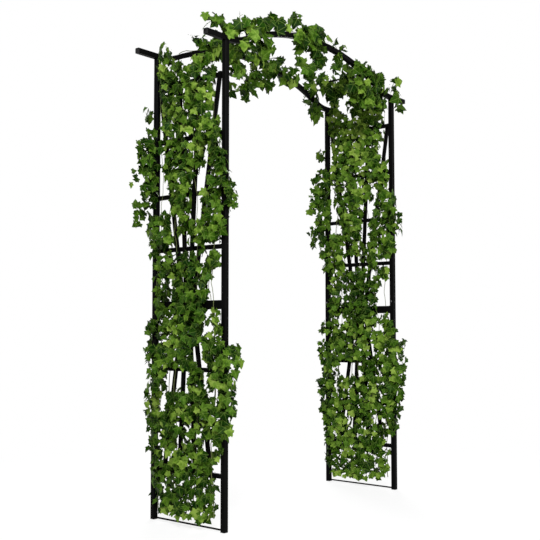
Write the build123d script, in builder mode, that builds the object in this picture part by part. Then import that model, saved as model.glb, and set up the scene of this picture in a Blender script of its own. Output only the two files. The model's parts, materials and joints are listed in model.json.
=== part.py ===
"""Garden arch of square tube: two fan trellis sides, two arched ribs and climbing ivy.

Millimetres. X runs across the arch, Y from front to rear and Z up from the ground.
The origin lies on the ground, midway between the four posts.
"""

import os
from math import asin, cos, degrees, radians, sin, sqrt

from build123d import *

# Frame, measured between the centres of its tubes
post_height = 2150.0
post_spacing_x = 1360.0
post_spacing_y = 440.0
joint_height = 978.0

# Square tube of the posts and ribs
tube = 25.0
tube_wall = 1.5
tube_corner = 2.0

# Rails between the posts of one side, centre heights above the ground
rail_height = 20.0
rail_thickness = 13.0
rail_wall = 1.2
fan_top_rail = 2005.0
upper_spread_rail = 1743.0
upper_middle_rail = 1483.0
upper_narrow_rail = 1235.0
lower_narrow_rail = 690.0
lower_middle_rail = 461.0
fan_bottom_rail = 235.0
ground_rod_diameter = 8.0
ground_rod_height = 8.5

# Fan slats, spaced across the side at the joint and at the two far ends
slat_count = 4
slat_width = 18.0
slat_thickness = 12.0
slat_wall = 1.0
fan_pitch_joint = 20.0
fan_pitch_top = 129.0
fan_pitch_bottom = 98.0
slat_end_margin = 1.5

# Arched ribs
rib_rise = 145.0
rib_overhang = 130.0
rib_bend_radius = 250.0
rib_bend_inset = 15.0
rung_diameter = 10.0
rung_offset = 420.0

# Spigots, couplers and plugs inside the tubes
fit_clearance = 0.25
spigot_wall = 1.5
spigot_length = 60.0
coupler_length = 160.0
plug_length = 18.0
foot_plate = 4.0
cap_plate = 3.0

# Screws through the upper posts into the couplers
screw_diameter = 5.0
screw_head_flats = 8.0
screw_head_height = 3.0
screw_length = 10.0
screw_offset = 45.0
hole_clearance = 0.2
fastener_sides = 8

# Bolts through the two stacked rails at the joint
bolt_diameter = 5.0
bolt_head_flats = 8.0
bolt_head_height = 3.5
nut_height = 4.0
thread_past_nut = 3.0

# Ivy, with sway turns in radians a bend and a stem, and leaf lobes as shares of the blade
stem_diameter = 7.0
stem_gap = 0.3
stem_foot = 60.0
stem_top = 2090.0
stem_bends = 8
stem_sides = 5
sway_turn = 1.9
sway_shift = 2.1
outer_stem_count = 4
outer_stem_pitch = 116.0
outer_stem_sway = 18.0
inner_stem_count = 3
inner_stem_pitch = 130.0
inner_stem_sway = 24.0
arch_stem_angle = 23.0
arch_stem_sway = 5.0
leaf_length = 80.0
leaf_width = 90.0
leaf_thickness = 1.0
base_lobe_reach = 0.40
base_lobe_drop = 0.12
side_lobe_reach = 0.50
side_lobe_height = 0.42
notch_reach = 0.22
notch_height = 0.50
petiole_length = 20.0
petiole_width = 2.4
side_leaf_swing = 38.0
arch_leaf_swing = 90.0
least_leaf_tilt = 30.0
leaf_tilt_step = 7.0
leaf_tilt_count = 5
leaf_tilt_skip = 3
stem_tilt_skip = 2
first_leaf_place = 0.3
leaf_stagger = 0.15
outer_leaves_per_stem = 17
inner_leaves_per_stem = 9
arch_leaves_per_stem = 15

# Sizes that follow from the ones above
post_x = post_spacing_x / 2
post_y = post_spacing_y / 2
tube_bore = tube - 2 * tube_wall
spigot_size = tube_bore - 2 * fit_clearance
spigot_bore = spigot_size - 2 * spigot_wall
rail_length = post_spacing_y - tube
rail_x = post_x - tube / 2 + rail_thickness / 2
slat_middle = post_x - tube / 2 + rail_thickness + slat_thickness / 2
outer_face = max(post_x + tube / 2, slat_middle + slat_thickness / 2)
inner_face = post_x - tube / 2
rib_z = post_height + tube / 2
rib_end = post_x + rib_overhang
bend_x = post_x - rib_bend_inset
arc_reach = (bend_x**2 + rib_rise**2) / (2 * rib_rise)
arc_radius = arc_reach - rib_bend_radius
arc_center_z = rib_z + rib_rise - arc_radius
bend_angle = degrees(asin(bend_x / arc_reach))
stem_radius = stem_diameter / 2
stem_seat = stem_radius + stem_gap

SIDES = (("left", -1), ("right", 1))
ENDS = (("front", -1), ("rear", 1))


def save(piece, name):
    """Label a finished piece and write it as its own file."""
    piece.part.label = name
    export_step(piece.part, f"parts/{name}.step")


def side_plane(x):
    """Return the plane across X whose sketch runs along Y and Z."""
    return Plane(origin=(x, 0, 0), x_dir=(0, 1, 0), z_dir=(1, 0, 0))


os.makedirs("parts", exist_ok=True)

# Square outline of the tube with its corners taken off, and the tube's own section
with BuildSketch() as tube_outline:
    Rectangle(tube, tube)
    chamfer(tube_outline.vertices(), tube_corner)
with BuildSketch() as tube_section:
    add(tube_outline.sketch)
    Rectangle(tube_bore, tube_bore, mode=Mode.SUBTRACT)

# Posts, each in a lower and an upper length, the upper with a screw hole beside the joint
for side, sign in SIDES:
    for end, back in ENDS:
        for level, low, high in (("lower", foot_plate, joint_height), ("upper", joint_height, post_height)):
            with BuildPart() as post:
                with BuildSketch(Plane((sign * post_x, back * post_y, low))):
                    add(tube_section.sketch)
                extrude(amount=high - low)
                if level == "upper":
                    with BuildSketch(side_plane(sign * inner_face)):
                        with Locations((back * post_y, joint_height + screw_offset)):
                            RegularPolygon(screw_diameter / 2 + hole_clearance, fastener_sides)
                    extrude(amount=sign * tube / 2, mode=Mode.SUBTRACT)
            save(post, f"{side}_{level}_{end}_post")

# Rails, welded between the facing walls of the two posts of a side
for side, sign in SIDES:
    for name, rail_z in (
        ("fan_top_rail", fan_top_rail),
        ("upper_spread_rail", upper_spread_rail),
        ("upper_middle_rail", upper_middle_rail),
        ("upper_narrow_rail", upper_narrow_rail),
        ("upper_joint_rail", joint_height + rail_height / 2),
        ("lower_joint_rail", joint_height - rail_height / 2),
        ("lower_narrow_rail", lower_narrow_rail),
        ("lower_middle_rail", lower_middle_rail),
        ("fan_bottom_rail", fan_bottom_rail),
    ):
        with BuildPart() as rail:
            rail_start = (sign * rail_x, -rail_length / 2, rail_z)
            with BuildSketch(Plane(rail_start, x_dir=(1, 0, 0), z_dir=(0, 1, 0))):
                Rectangle(rail_thickness, rail_height)
                Rectangle(rail_thickness - 2 * rail_wall, rail_height - 2 * rail_wall, mode=Mode.SUBTRACT)
            extrude(amount=rail_length)
            if "joint" in name:
                with BuildSketch(Plane((sign * rail_x, 0, rail_z))):
                    RegularPolygon(bolt_diameter / 2 + hole_clearance, fastener_sides)
                extrude(amount=rail_height, both=True, mode=Mode.SUBTRACT)
        save(rail, f"{side}_{name}")

# Ground rods, one low between the feet of each side
for side, sign in SIDES:
    with BuildPart() as rod:
        with BuildSketch(Plane((sign * post_x, -rail_length / 2, ground_rod_height), z_dir=(0, 1, 0))):
            Circle(ground_rod_diameter / 2)
        extrude(amount=rail_length)
    save(rod, f"{side}_ground_rod")

# Fan slats, bars welded to the outer faces of the rails, that spread away from the joint
for side, sign in SIDES:
    for level, near_z, far_z, far_pitch in (
        ("upper", joint_height + slat_end_margin, fan_top_rail + rail_height / 2, fan_pitch_top),
        ("lower", joint_height - slat_end_margin, fan_bottom_rail - rail_height / 2, fan_pitch_bottom),
    ):
        for index in range(slat_count):
            step = index - (slat_count - 1) / 2
            near_y = step * fan_pitch_joint
            far_y = step * far_pitch
            with BuildPart() as slat:
                with BuildSketch(Plane((sign * slat_middle, near_y, near_z))) as near_end:
                    Rectangle(slat_thickness, slat_width)
                    Rectangle(slat_thickness - 2 * slat_wall, slat_width - 2 * slat_wall, mode=Mode.SUBTRACT)
                with BuildLine() as lean:
                    Line((sign * slat_middle, near_y, near_z), (sign * slat_middle, far_y, far_z))
                sweep(path=lean.wire(), is_frenet=False, transition=Transition.TRANSFORMED)
            save(slat, f"{side}_{level}_fan_slat_{index + 1}")

# Arched ribs, one bent tube each, level past the posts and curved between them
for end, back in ENDS:
    with BuildPart() as rib:
        with BuildLine(Plane.XZ.offset(-back * post_y)) as route:
            left_stub = Line((-rib_end + cap_plate, rib_z), (-bend_x, rib_z))
            left_bend = JernArc(left_stub @ 1, left_stub % 1, rib_bend_radius, bend_angle)
            crown = JernArc(left_bend @ 1, left_bend % 1, arc_radius, -2 * bend_angle)
            right_bend = JernArc(crown @ 1, crown % 1, rib_bend_radius, bend_angle)
            right_stub = Line(right_bend @ 1, (rib_end - cap_plate, rib_z))
        with BuildSketch(Plane(origin=route.wire() @ 0, x_dir=(0, 1, 0), z_dir=(1, 0, 0))):
            add(tube_section.sketch)
        sweep()
    save(rib, f"{end}_rib")

# Rungs that tie the two ribs together
rung_z = arc_center_z + sqrt(arc_radius**2 - rung_offset**2)
for side, sign in SIDES:
    with BuildPart() as rung:
        with BuildSketch(Plane((sign * rung_offset, -rail_length / 2, rung_z), z_dir=(0, 1, 0))):
            Circle(rung_diameter / 2)
        extrude(amount=rail_length)
    save(rung, f"{side}_arch_rung")

# Spigots, welded under the ribs and pushed into the post tops
with BuildPart() as spigots:
    with BuildSketch(Plane.XY.offset(post_height - spigot_length)):
        with GridLocations(post_spacing_x, post_spacing_y, 2, 2):
            Rectangle(spigot_size, spigot_size)
            Rectangle(spigot_bore, spigot_bore, mode=Mode.SUBTRACT)
    extrude(amount=spigot_length)
save(spigots, "rib_spigots")

# Couplers, sleeves inside the posts that join the lower and upper lengths
with BuildPart() as couplers:
    with BuildSketch(Plane.XY.offset(joint_height - coupler_length / 2)):
        with GridLocations(post_spacing_x, post_spacing_y, 2, 2):
            Rectangle(spigot_size, spigot_size)
            Rectangle(spigot_bore, spigot_bore, mode=Mode.SUBTRACT)
    extrude(amount=coupler_length)
    for side, sign in SIDES:
        with BuildSketch(side_plane(sign * inner_face)):
            with Locations((0, joint_height + screw_offset)):
                with GridLocations(post_spacing_y, 1, 2, 1):
                    RegularPolygon(screw_diameter / 2 + hole_clearance, fastener_sides)
        extrude(amount=sign * tube / 2, mode=Mode.SUBTRACT)
save(couplers, "post_couplers")

# Screws from the walkway side, one above the joint in each post
with BuildPart() as screws:
    for side, sign in SIDES:
        with BuildSketch(side_plane(sign * inner_face)):
            with Locations((0, joint_height + screw_offset)):
                with GridLocations(post_spacing_y, 1, 2, 1):
                    RegularPolygon(screw_head_flats / 2, 6, major_radius=False)
        extrude(amount=-sign * screw_head_height)
        with BuildSketch(side_plane(sign * inner_face)):
            with Locations((0, joint_height + screw_offset)):
                with GridLocations(post_spacing_y, 1, 2, 1):
                    RegularPolygon(screw_diameter / 2, fastener_sides)
        extrude(amount=sign * screw_length)
save(screws, "coupler_screws")

# Bolts and nuts that clamp the two rails at the joint
with BuildPart() as bolts:
    with BuildSketch(Plane.XY.offset(joint_height + rail_height)):
        with GridLocations(2 * rail_x, 1, 2, 1):
            RegularPolygon(bolt_head_flats / 2, 6, major_radius=False)
    extrude(amount=bolt_head_height)
    with BuildSketch(Plane.XY.offset(joint_height + rail_height)):
        with GridLocations(2 * rail_x, 1, 2, 1):
            RegularPolygon(bolt_diameter / 2, fastener_sides)
    extrude(amount=-(2 * rail_height + nut_height + thread_past_nut))
save(bolts, "joint_rail_bolts")

with BuildPart() as nuts:
    with BuildSketch(Plane.XY.offset(joint_height - rail_height)):
        with GridLocations(2 * rail_x, 1, 2, 1):
            RegularPolygon(bolt_head_flats / 2, 6, major_radius=False)
            RegularPolygon(bolt_diameter / 2, fastener_sides, mode=Mode.SUBTRACT)
    extrude(amount=-nut_height)
save(nuts, "joint_rail_nuts")

# Plastic caps in the open ends of the ribs
with BuildPart() as caps:
    for side, sign in SIDES:
        with BuildSketch(side_plane(sign * (rib_end - cap_plate))):
            with Locations((0, rib_z)):
                with GridLocations(post_spacing_y, 1, 2, 1):
                    add(tube_outline.sketch)
        extrude(amount=sign * cap_plate)
        with BuildSketch(side_plane(sign * (rib_end - cap_plate))):
            with Locations((0, rib_z)):
                with GridLocations(post_spacing_y, 1, 2, 1):
                    Rectangle(spigot_size, spigot_size)
        extrude(amount=-sign * plug_length)
save(caps, "rib_end_caps")

# Plastic plugs in the feet of the posts
with BuildPart() as feet:
    with BuildSketch():
        with GridLocations(post_spacing_x, post_spacing_y, 2, 2):
            add(tube_outline.sketch)
    extrude(amount=foot_plate)
    with BuildSketch(Plane.XY.offset(foot_plate)):
        with GridLocations(post_spacing_x, post_spacing_y, 2, 2):
            Rectangle(spigot_size, spigot_size)
    extrude(amount=plug_length)
save(feet, "foot_plugs")


# Ivy stems, which climb the faces of the two sides and run along the tops of the ribs
def climbing_route(x, y, sway, phase):
    """Return the corner points of a stem that climbs one face of a side and sways along Y."""
    rise = (stem_top - stem_foot) / stem_bends
    return [
        Vector(x, y + sway * sin(sway_turn * bend + sway_shift * phase), stem_foot + bend * rise)
        for bend in range(stem_bends + 1)
    ]


outer_routes = []
inner_routes = []
for side, sign in SIDES:
    for index in range(outer_stem_count):
        start_y = (index - (outer_stem_count - 1) / 2) * outer_stem_pitch
        outer_routes.append(climbing_route(sign * (outer_face + stem_seat), start_y, outer_stem_sway, index))
    for index in range(inner_stem_count):
        start_y = (index - (inner_stem_count - 1) / 2) * inner_stem_pitch
        inner_routes.append(climbing_route(sign * (inner_face - stem_seat), start_y, inner_stem_sway, index))

arch_routes = []
arch_step = 2 * arch_stem_angle / stem_bends
arch_stem_radius = (arc_radius + tube / 2 + stem_seat) / cos(radians(arch_step / 2))
for end, back in ENDS:
    turns = [radians(arch_step * bend - arch_stem_angle) for bend in range(stem_bends + 1)]
    arch_routes.append(
        [
            Vector(
                arch_stem_radius * sin(turn),
                back * (post_y + arch_stem_sway * sin(sway_turn * bend)),
                arc_center_z + arch_stem_radius * cos(turn),
            )
            for bend, turn in enumerate(turns)
        ]
    )

with BuildPart() as stems:
    for points in outer_routes + inner_routes + arch_routes:
        with BuildLine() as climb:
            Polyline(*points)
        with BuildSketch(Plane(origin=climb.wire() @ 0, z_dir=climb.wire() % 0)):
            RegularPolygon(stem_radius, stem_sides)
        sweep(path=climb.wire(), transition=Transition.RIGHT)
save(stems, "ivy_stems")


# Ivy leaves, lobed plates on short stalks that stand off the stems to either side
with BuildPart() as leaf:
    with BuildSketch():
        with BuildLine():
            Polyline(
                (0, 0),
                (petiole_width / 2, petiole_length),
                (base_lobe_reach * leaf_width, petiole_length - base_lobe_drop * leaf_length),
                (side_lobe_reach * leaf_width, petiole_length + side_lobe_height * leaf_length),
                (notch_reach * leaf_width, petiole_length + notch_height * leaf_length),
                (0, petiole_length + leaf_length),
            )
            mirror(about=Plane.YZ)
        make_face()
    extrude(amount=leaf_thickness / 2, both=True)


def leaf_place(point, along, outward, swing, tilt):
    """Return the place of a leaf on a stem.

    The leaf hangs back along the stem, swung to one side of it by swing degrees, and leans out of
    the frame by tilt degrees. Its stalk starts just clear of the stem.
    """
    across = along.cross(outward).normalized()
    hang = across * sin(radians(swing)) - along * cos(radians(swing))
    growth = hang * cos(radians(tilt)) + outward * sin(radians(tilt))
    width = across * cos(radians(swing)) + along * sin(radians(swing))
    start = stem_seat / growth.cross(along).length
    return Location(Plane(point + growth * start, x_dir=width, z_dir=width.cross(growth)))


def leaf_places(points, outward, count, phase, swing):
    """Return leaf places spread along a stem, on alternate sides and at varied tilts."""
    places = []
    for index in range(count):
        reach = (index + first_leaf_place + leaf_stagger * phase) / count * (len(points) - 1)
        bend = int(reach)
        along = (points[bend + 1] - points[bend]).normalized()
        point = points[bend] + (points[bend + 1] - points[bend]) * (reach - bend)
        away = (outward - along * along.dot(outward)).normalized()
        pick = (leaf_tilt_skip * index + stem_tilt_skip * phase) % leaf_tilt_count
        tilt = least_leaf_tilt + leaf_tilt_step * pick
        places.append(leaf_place(point, along, away, swing * (-1) ** index, tilt))
    return places


for side, sign in SIDES:
    places = []
    for index, points in enumerate(route for route in outer_routes if route[0].X * sign > 0):
        places += leaf_places(points, Vector(sign, 0, 0), outer_leaves_per_stem, index % 2, side_leaf_swing)
    for index, points in enumerate(route for route in inner_routes if route[0].X * sign > 0):
        places += leaf_places(points, Vector(-sign, 0, 0), inner_leaves_per_stem, index % 2, side_leaf_swing)
    with BuildPart() as leaves:
        with Locations(*places):
            add(leaf.part)
    save(leaves, f"{side}_ivy_leaves")

arch_places = []
for (end, back), points in zip(ENDS, arch_routes):
    arch_places += leaf_places(points, Vector(0, 0, 1), arch_leaves_per_stem, 0.5, back * arch_leaf_swing)
with BuildPart() as arch_leaves:
    with Locations(*arch_places):
        add(leaf.part)
save(arch_leaves, "arch_ivy_leaves")
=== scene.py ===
"""Looks of the garden arch: its coated steel frame, and the ivy that climbs it."""

import json
import logging
import math
from dataclasses import dataclass, field
from enum import Enum, IntEnum

import bmesh
import bpy
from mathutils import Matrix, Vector, noise
from mathutils.bvhtree import BVHTree

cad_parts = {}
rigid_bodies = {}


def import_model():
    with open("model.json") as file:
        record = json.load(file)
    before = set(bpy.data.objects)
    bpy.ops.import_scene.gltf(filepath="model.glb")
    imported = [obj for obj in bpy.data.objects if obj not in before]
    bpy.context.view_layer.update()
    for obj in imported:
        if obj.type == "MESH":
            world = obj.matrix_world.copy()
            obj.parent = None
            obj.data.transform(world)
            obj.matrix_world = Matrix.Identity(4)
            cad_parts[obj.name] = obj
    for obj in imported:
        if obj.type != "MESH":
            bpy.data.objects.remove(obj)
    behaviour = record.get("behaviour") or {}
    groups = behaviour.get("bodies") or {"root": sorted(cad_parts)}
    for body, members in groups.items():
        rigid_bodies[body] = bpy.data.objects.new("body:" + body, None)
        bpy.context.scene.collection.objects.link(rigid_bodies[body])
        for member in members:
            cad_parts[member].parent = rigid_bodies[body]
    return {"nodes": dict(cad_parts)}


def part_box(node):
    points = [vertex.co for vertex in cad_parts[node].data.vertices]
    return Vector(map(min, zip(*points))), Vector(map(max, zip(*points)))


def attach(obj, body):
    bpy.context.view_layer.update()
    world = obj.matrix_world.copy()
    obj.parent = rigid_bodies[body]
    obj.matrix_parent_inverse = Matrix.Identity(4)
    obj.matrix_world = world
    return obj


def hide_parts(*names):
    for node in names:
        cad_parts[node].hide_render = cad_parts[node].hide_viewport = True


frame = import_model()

log = logging.getLogger("garden_arch")

MM = 0.001
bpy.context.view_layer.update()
IVY_NODES = ("ivy_stems", "left_ivy_leaves", "right_ivy_leaves", "arch_ivy_leaves")
NOISE_MIDDLE = 0.5

# What leaves keep for their finish, and what the form under them keeps for the leaves
LEAF_LAYOUT = "UVMap"
UNDERSIDE = "underside"
TINT = "tint"
CHILL = "chill"
LEAFINESS = "leafiness"
# Painted shading: a lighter or darker leaf tint that stands in for light and shade
PAINTED_SHADING = "youth"

# Linear red, green and blue, then numbers along X, Y and Z, then pairs of numbers
Colour = tuple[float, float, float]
Axes = tuple[float, float, float]
Span = tuple[float, float]


class Side(Enum):
    """The two trellis sides, by the sign of their X."""

    LEFT = -1
    RIGHT = 1


class TreeSocket(Enum):
    """Kinds of input that the node trees take."""

    GEOMETRY = "NodeSocketGeometry"
    FLOAT = "NodeSocketFloat"
    INTEGER = "NodeSocketInt"
    VECTOR = "NodeSocketVector"
    COLLECTION = "NodeSocketCollection"
    OBJECT = "NodeSocketObject"
    MATERIAL = "NodeSocketMaterial"


class LeafSeed(IntEnum):
    """Seeds of the random choices that are made for each leaf."""

    JITTER = 11
    TUMBLE = 12
    SWING = 13
    SHAPE = 14
    SIZE = 15
    SHADE = 16
    CHILL = 17


# Node trees

class NodeTree:
    """A node tree that is put together node by node."""

    def __init__(self, tree: bpy.types.NodeTree) -> None:
        """Keeps the tree that nodes are added to."""
        self.tree = tree
        self.identifiers: dict[str, str] = {}

    def input(self, name: str, kind: TreeSocket) -> None:
        """Adds a named input to the tree's own interface."""
        socket = self.tree.interface.new_socket(name, in_out="INPUT", socket_type=kind.value)
        self.identifiers[name] = socket.identifier

    def output(self, name: str, kind: TreeSocket) -> None:
        """Adds a named output to the tree's own interface."""
        self.tree.interface.new_socket(name, in_out="OUTPUT", socket_type=kind.value)

    def add(self, kind: str, **settings: object) -> bpy.types.Node:
        """Adds one node.

        Args:
            kind: the node's Blender type name.
            settings: values for the node's own properties.

        Returns:
            The new node.
        """
        node = self.tree.nodes.new(kind)
        for name, value in settings.items():
            setattr(node, name, value)
        return node

    def link(self, source: bpy.types.NodeSocket, target: bpy.types.NodeSocket) -> None:
        """Joins an output to an input."""
        self.tree.links.new(source, target)

    def math(self, operation: str, *values: object) -> bpy.types.NodeSocket:
        """Adds a math node.

        Args:
            operation: the node's operation.
            values: numbers, or sockets to link.

        Returns:
            The node's value.
        """
        node = self.add("ShaderNodeMath", operation=operation)
        for socket, value in zip(node.inputs, values):
            self.feed(socket, value)
        return node.outputs[0]

    def vector_math(self, operation: str, *values: object) -> bpy.types.NodeSocket:
        """Adds a vector math node.

        Args:
            operation: the node's operation. For SCALE the second value is the factor.
            values: vectors or numbers, or sockets to link.

        Returns:
            The node's vector.
        """
        node = self.add("ShaderNodeVectorMath", operation=operation)
        targets = list(node.inputs)
        if operation == "SCALE":
            targets = [node.inputs["Vector"], node.inputs["Scale"]]
        for socket, value in zip(targets, values):
            self.feed(socket, value)
        return node.outputs[0]

    def feed(self, socket: bpy.types.NodeSocket, value: object) -> None:
        """Gives an input what it takes.

        Args:
            socket: the input.
            value: an output to link to it, or a value of its own.
        """
        if isinstance(value, bpy.types.NodeSocket):
            self.link(value, socket)
        else:
            socket.default_value = value


class GeometryTree(NodeTree):
    """A geometry node tree with named sizes, whose result is turned into a plain mesh."""

    def __init__(self, name: str, inputs: dict[str, TreeSocket]) -> None:
        """Starts the tree.

        Args:
            name: the tree's name.
            inputs: names and kinds of its sizes, after the geometry that it works on.
        """
        super().__init__(bpy.data.node_groups.new(name, "GeometryNodeTree"))
        self.output("Geometry", TreeSocket.GEOMETRY)
        self.input("Geometry", TreeSocket.GEOMETRY)
        for label, kind in inputs.items():
            self.input(label, kind)
        self.entry = self.add("NodeGroupInput")
        self.exit = self.add("NodeGroupOutput")

    def random_vector(self, seed: int) -> bpy.types.NodeSocket:
        """Draws a random vector for each point.

        Args:
            seed: seed of the draw.

        Returns:
            A vector between -1 and 1 on each axis.
        """
        node = self.add("FunctionNodeRandomValue", data_type="FLOAT_VECTOR")
        node.inputs["Min"].default_value = (-1.0, -1.0, -1.0)
        node.inputs["Max"].default_value = (1.0, 1.0, 1.0)
        node.inputs["Seed"].default_value = seed
        return node.outputs["Value"]

    def random_number(self, low: object, high: object, seed: int) -> bpy.types.NodeSocket:
        """Draws a random number for each point.

        Args:
            low: the least number, or a socket to link.
            high: the greatest number, or a socket to link.
            seed: seed of the draw.

        Returns:
            A number between the two.
        """
        node = self.add("FunctionNodeRandomValue", data_type="FLOAT")
        self.feed(node.inputs[2], low)
        self.feed(node.inputs[3], high)
        node.inputs["Seed"].default_value = seed
        return node.outputs[1]

    def random_choice(self, count: int, seed: int) -> bpy.types.NodeSocket:
        """Draws one of several choices for each point.

        Args:
            count: number of choices.
            seed: seed of the draw.

        Returns:
            A whole number from 0 to count - 1.
        """
        node = self.add("FunctionNodeRandomValue", data_type="INT")
        node.inputs[5].default_value = count - 1
        node.inputs["Seed"].default_value = seed
        return node.outputs[2]

    def attribute(self, name: str) -> bpy.types.NodeSocket:
        """Reads a number that is kept on the geometry.

        Args:
            name: the attribute's name.

        Returns:
            The number.
        """
        node = self.add("GeometryNodeInputNamedAttribute", data_type="FLOAT")
        node.inputs["Name"].default_value = name
        return node.outputs["Attribute"]

    def store(
        self,
        geometry: bpy.types.NodeSocket,
        name: str,
        value: bpy.types.NodeSocket,
    ) -> bpy.types.NodeSocket:
        """Keeps a number on each instance by name.

        Args:
            geometry: the instances.
            name: the attribute's name.
            value: the number, which is held between 0 and 1.

        Returns:
            The instances with the attribute.
        """
        held = self.add("ShaderNodeClamp")
        self.link(value, held.inputs["Value"])
        keep = self.add("GeometryNodeStoreNamedAttribute", data_type="FLOAT", domain="INSTANCE")
        keep.inputs["Name"].default_value = name
        self.link(geometry, keep.inputs["Geometry"])
        self.link(held.outputs["Result"], keep.inputs["Value"])
        return keep.outputs["Geometry"]

    def close(self, geometry: bpy.types.NodeSocket) -> None:
        """Ends the tree in Realize Instances and Set Material.

        Args:
            geometry: what the tree has made.
        """
        realize = self.add("GeometryNodeRealizeInstances")
        paint = self.add("GeometryNodeSetMaterial")
        self.link(geometry, realize.inputs["Geometry"])
        self.link(realize.outputs["Geometry"], paint.inputs["Geometry"])
        self.link(self.entry.outputs["Finish"], paint.inputs["Material"])
        self.link(paint.outputs["Geometry"], self.exit.inputs["Geometry"])

    def plain_mesh(self, source: bpy.types.Object, name: str, **sizes: object) -> bpy.types.Object:
        """Runs the tree on an object and keeps the result as a plain mesh.

        Args:
            source: the object whose geometry the tree works on. It is removed afterwards.
            name: the finished piece's name.
            sizes: values for the tree's inputs, by name with underscores for spaces.

        Returns:
            The finished piece, with no modifier.
        """
        modifier = source.modifiers.new(self.tree.name, "NODES")
        modifier.node_group = self.tree
        for label, value in sizes.items():
            modifier[self.identifiers[label.replace("_", " ")]] = value
        graph = bpy.context.evaluated_depsgraph_get()
        graph.update()
        mesh = bpy.data.meshes.new_from_object(source.evaluated_get(graph), depsgraph=graph)
        mesh.name = name
        source.modifiers.remove(modifier)
        bpy.data.objects.remove(source)
        return link_object(name, mesh)


def link_object(name: str, data: bpy.types.ID) -> bpy.types.Object:
    """Puts new data in the scene.

    Args:
        name: the object's name.
        data: its mesh or curve.

    Returns:
        The object, at the origin.
    """
    piece = bpy.data.objects.new(name, data)
    bpy.context.scene.collection.objects.link(piece)
    return piece


def finished_mesh(name: str, work: bmesh.types.BMesh) -> bpy.types.Mesh:
    """Turns a mesh under way into a plain one.

    Args:
        name: the mesh's name.
        work: the mesh under way. It is freed.

    Returns:
        The plain mesh.
    """
    mesh = bpy.data.meshes.new(name)
    work.to_mesh(mesh)
    work.free()
    return mesh


def seat_piece(piece: bpy.types.Object, slot: str, *nodes: str) -> None:
    """Gives a finished piece to the frame and reports it.

    Args:
        piece: the finished piece.
        slot: the material slot that its finish stands for; not used.
        nodes: CAD nodes that it replaces.
    """
    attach(piece, "root")
    if nodes:
        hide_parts(*nodes)
    triangles = sum(len(face.vertices) - 2 for face in piece.data.polygons)
    log.info("%s: %d triangles, for %s", piece.name, triangles, ", ".join(nodes) or "no node")


# Finishes

def surface_grain_group(detail: float = 3.0, broad_scale: float = 9.0) -> bpy.types.NodeTree:
    """Builds the fine unevenness that coats, mouldings, steel, bark and leaves share.

    Args:
        detail: how many finer grains lie within the grain.
        broad_scale: patches of rougher and smoother surface per metre.

    Returns:
        A shader node group with a roughness and a height.
    """
    group = NodeTree(bpy.data.node_groups.new("Surface grain", "ShaderNodeTree"))
    group.input("Grain Scale", TreeSocket.FLOAT)
    group.input("Roughness", TreeSocket.FLOAT)
    group.input("Spread", TreeSocket.FLOAT)
    group.output("Roughness", TreeSocket.FLOAT)
    group.output("Height", TreeSocket.FLOAT)
    entry = group.add("NodeGroupInput")
    leave = group.add("NodeGroupOutput")
    place = group.add("ShaderNodeTexCoord")
    fine = group.add("ShaderNodeTexNoise", noise_dimensions="3D")
    fine.inputs["Detail"].default_value = detail
    broad = group.add("ShaderNodeTexNoise", noise_dimensions="3D")
    broad.inputs["Scale"].default_value = broad_scale
    group.link(place.outputs["Object"], fine.inputs["Vector"])
    group.link(place.outputs["Object"], broad.inputs["Vector"])
    group.link(entry.outputs["Grain Scale"], fine.inputs["Scale"])
    swing = group.math("SUBTRACT", broad.outputs["Fac"], NOISE_MIDDLE)
    swing = group.math("MULTIPLY", swing, entry.outputs["Spread"])
    group.link(group.math("ADD", swing, entry.outputs["Roughness"]), leave.inputs["Roughness"])
    group.link(fine.outputs["Fac"], leave.inputs["Height"])
    return group.tree


def settled_dust_group(patch_scale: float = 22.0) -> bpy.types.NodeTree:
    """Builds the thin dust that lies on faces that look up.

    Args:
        patch_scale: patches of thicker and thinner dust per metre.

    Returns:
        A shader node group with a mask.
    """
    group = NodeTree(bpy.data.node_groups.new("Settled dust", "ShaderNodeTree"))
    group.input("Amount", TreeSocket.FLOAT)
    group.output("Mask", TreeSocket.FLOAT)
    entry = group.add("NodeGroupInput")
    leave = group.add("NodeGroupOutput")
    place = group.add("ShaderNodeTexCoord")
    surface = group.add("ShaderNodeNewGeometry")
    parts = group.add("ShaderNodeSeparateXYZ")
    patches = group.add("ShaderNodeTexNoise", noise_dimensions="3D")
    patches.inputs["Scale"].default_value = patch_scale
    group.link(surface.outputs["Normal"], parts.inputs["Vector"])
    group.link(place.outputs["Object"], patches.inputs["Vector"])
    upward = group.math("MAXIMUM", parts.outputs["Z"], 0.0)
    mask = group.math("MULTIPLY", upward, patches.outputs["Fac"])
    group.link(group.math("MULTIPLY", mask, entry.outputs["Amount"]), leave.inputs["Mask"])
    return group.tree


@dataclass(frozen=True)
class Effects:
    """The shader groups that several finishes share.

    Attributes:
        grain: fine unevenness.
        dust: dust on faces that look up.
    """

    grain: bpy.types.NodeTree
    dust: bpy.types.NodeTree


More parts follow.
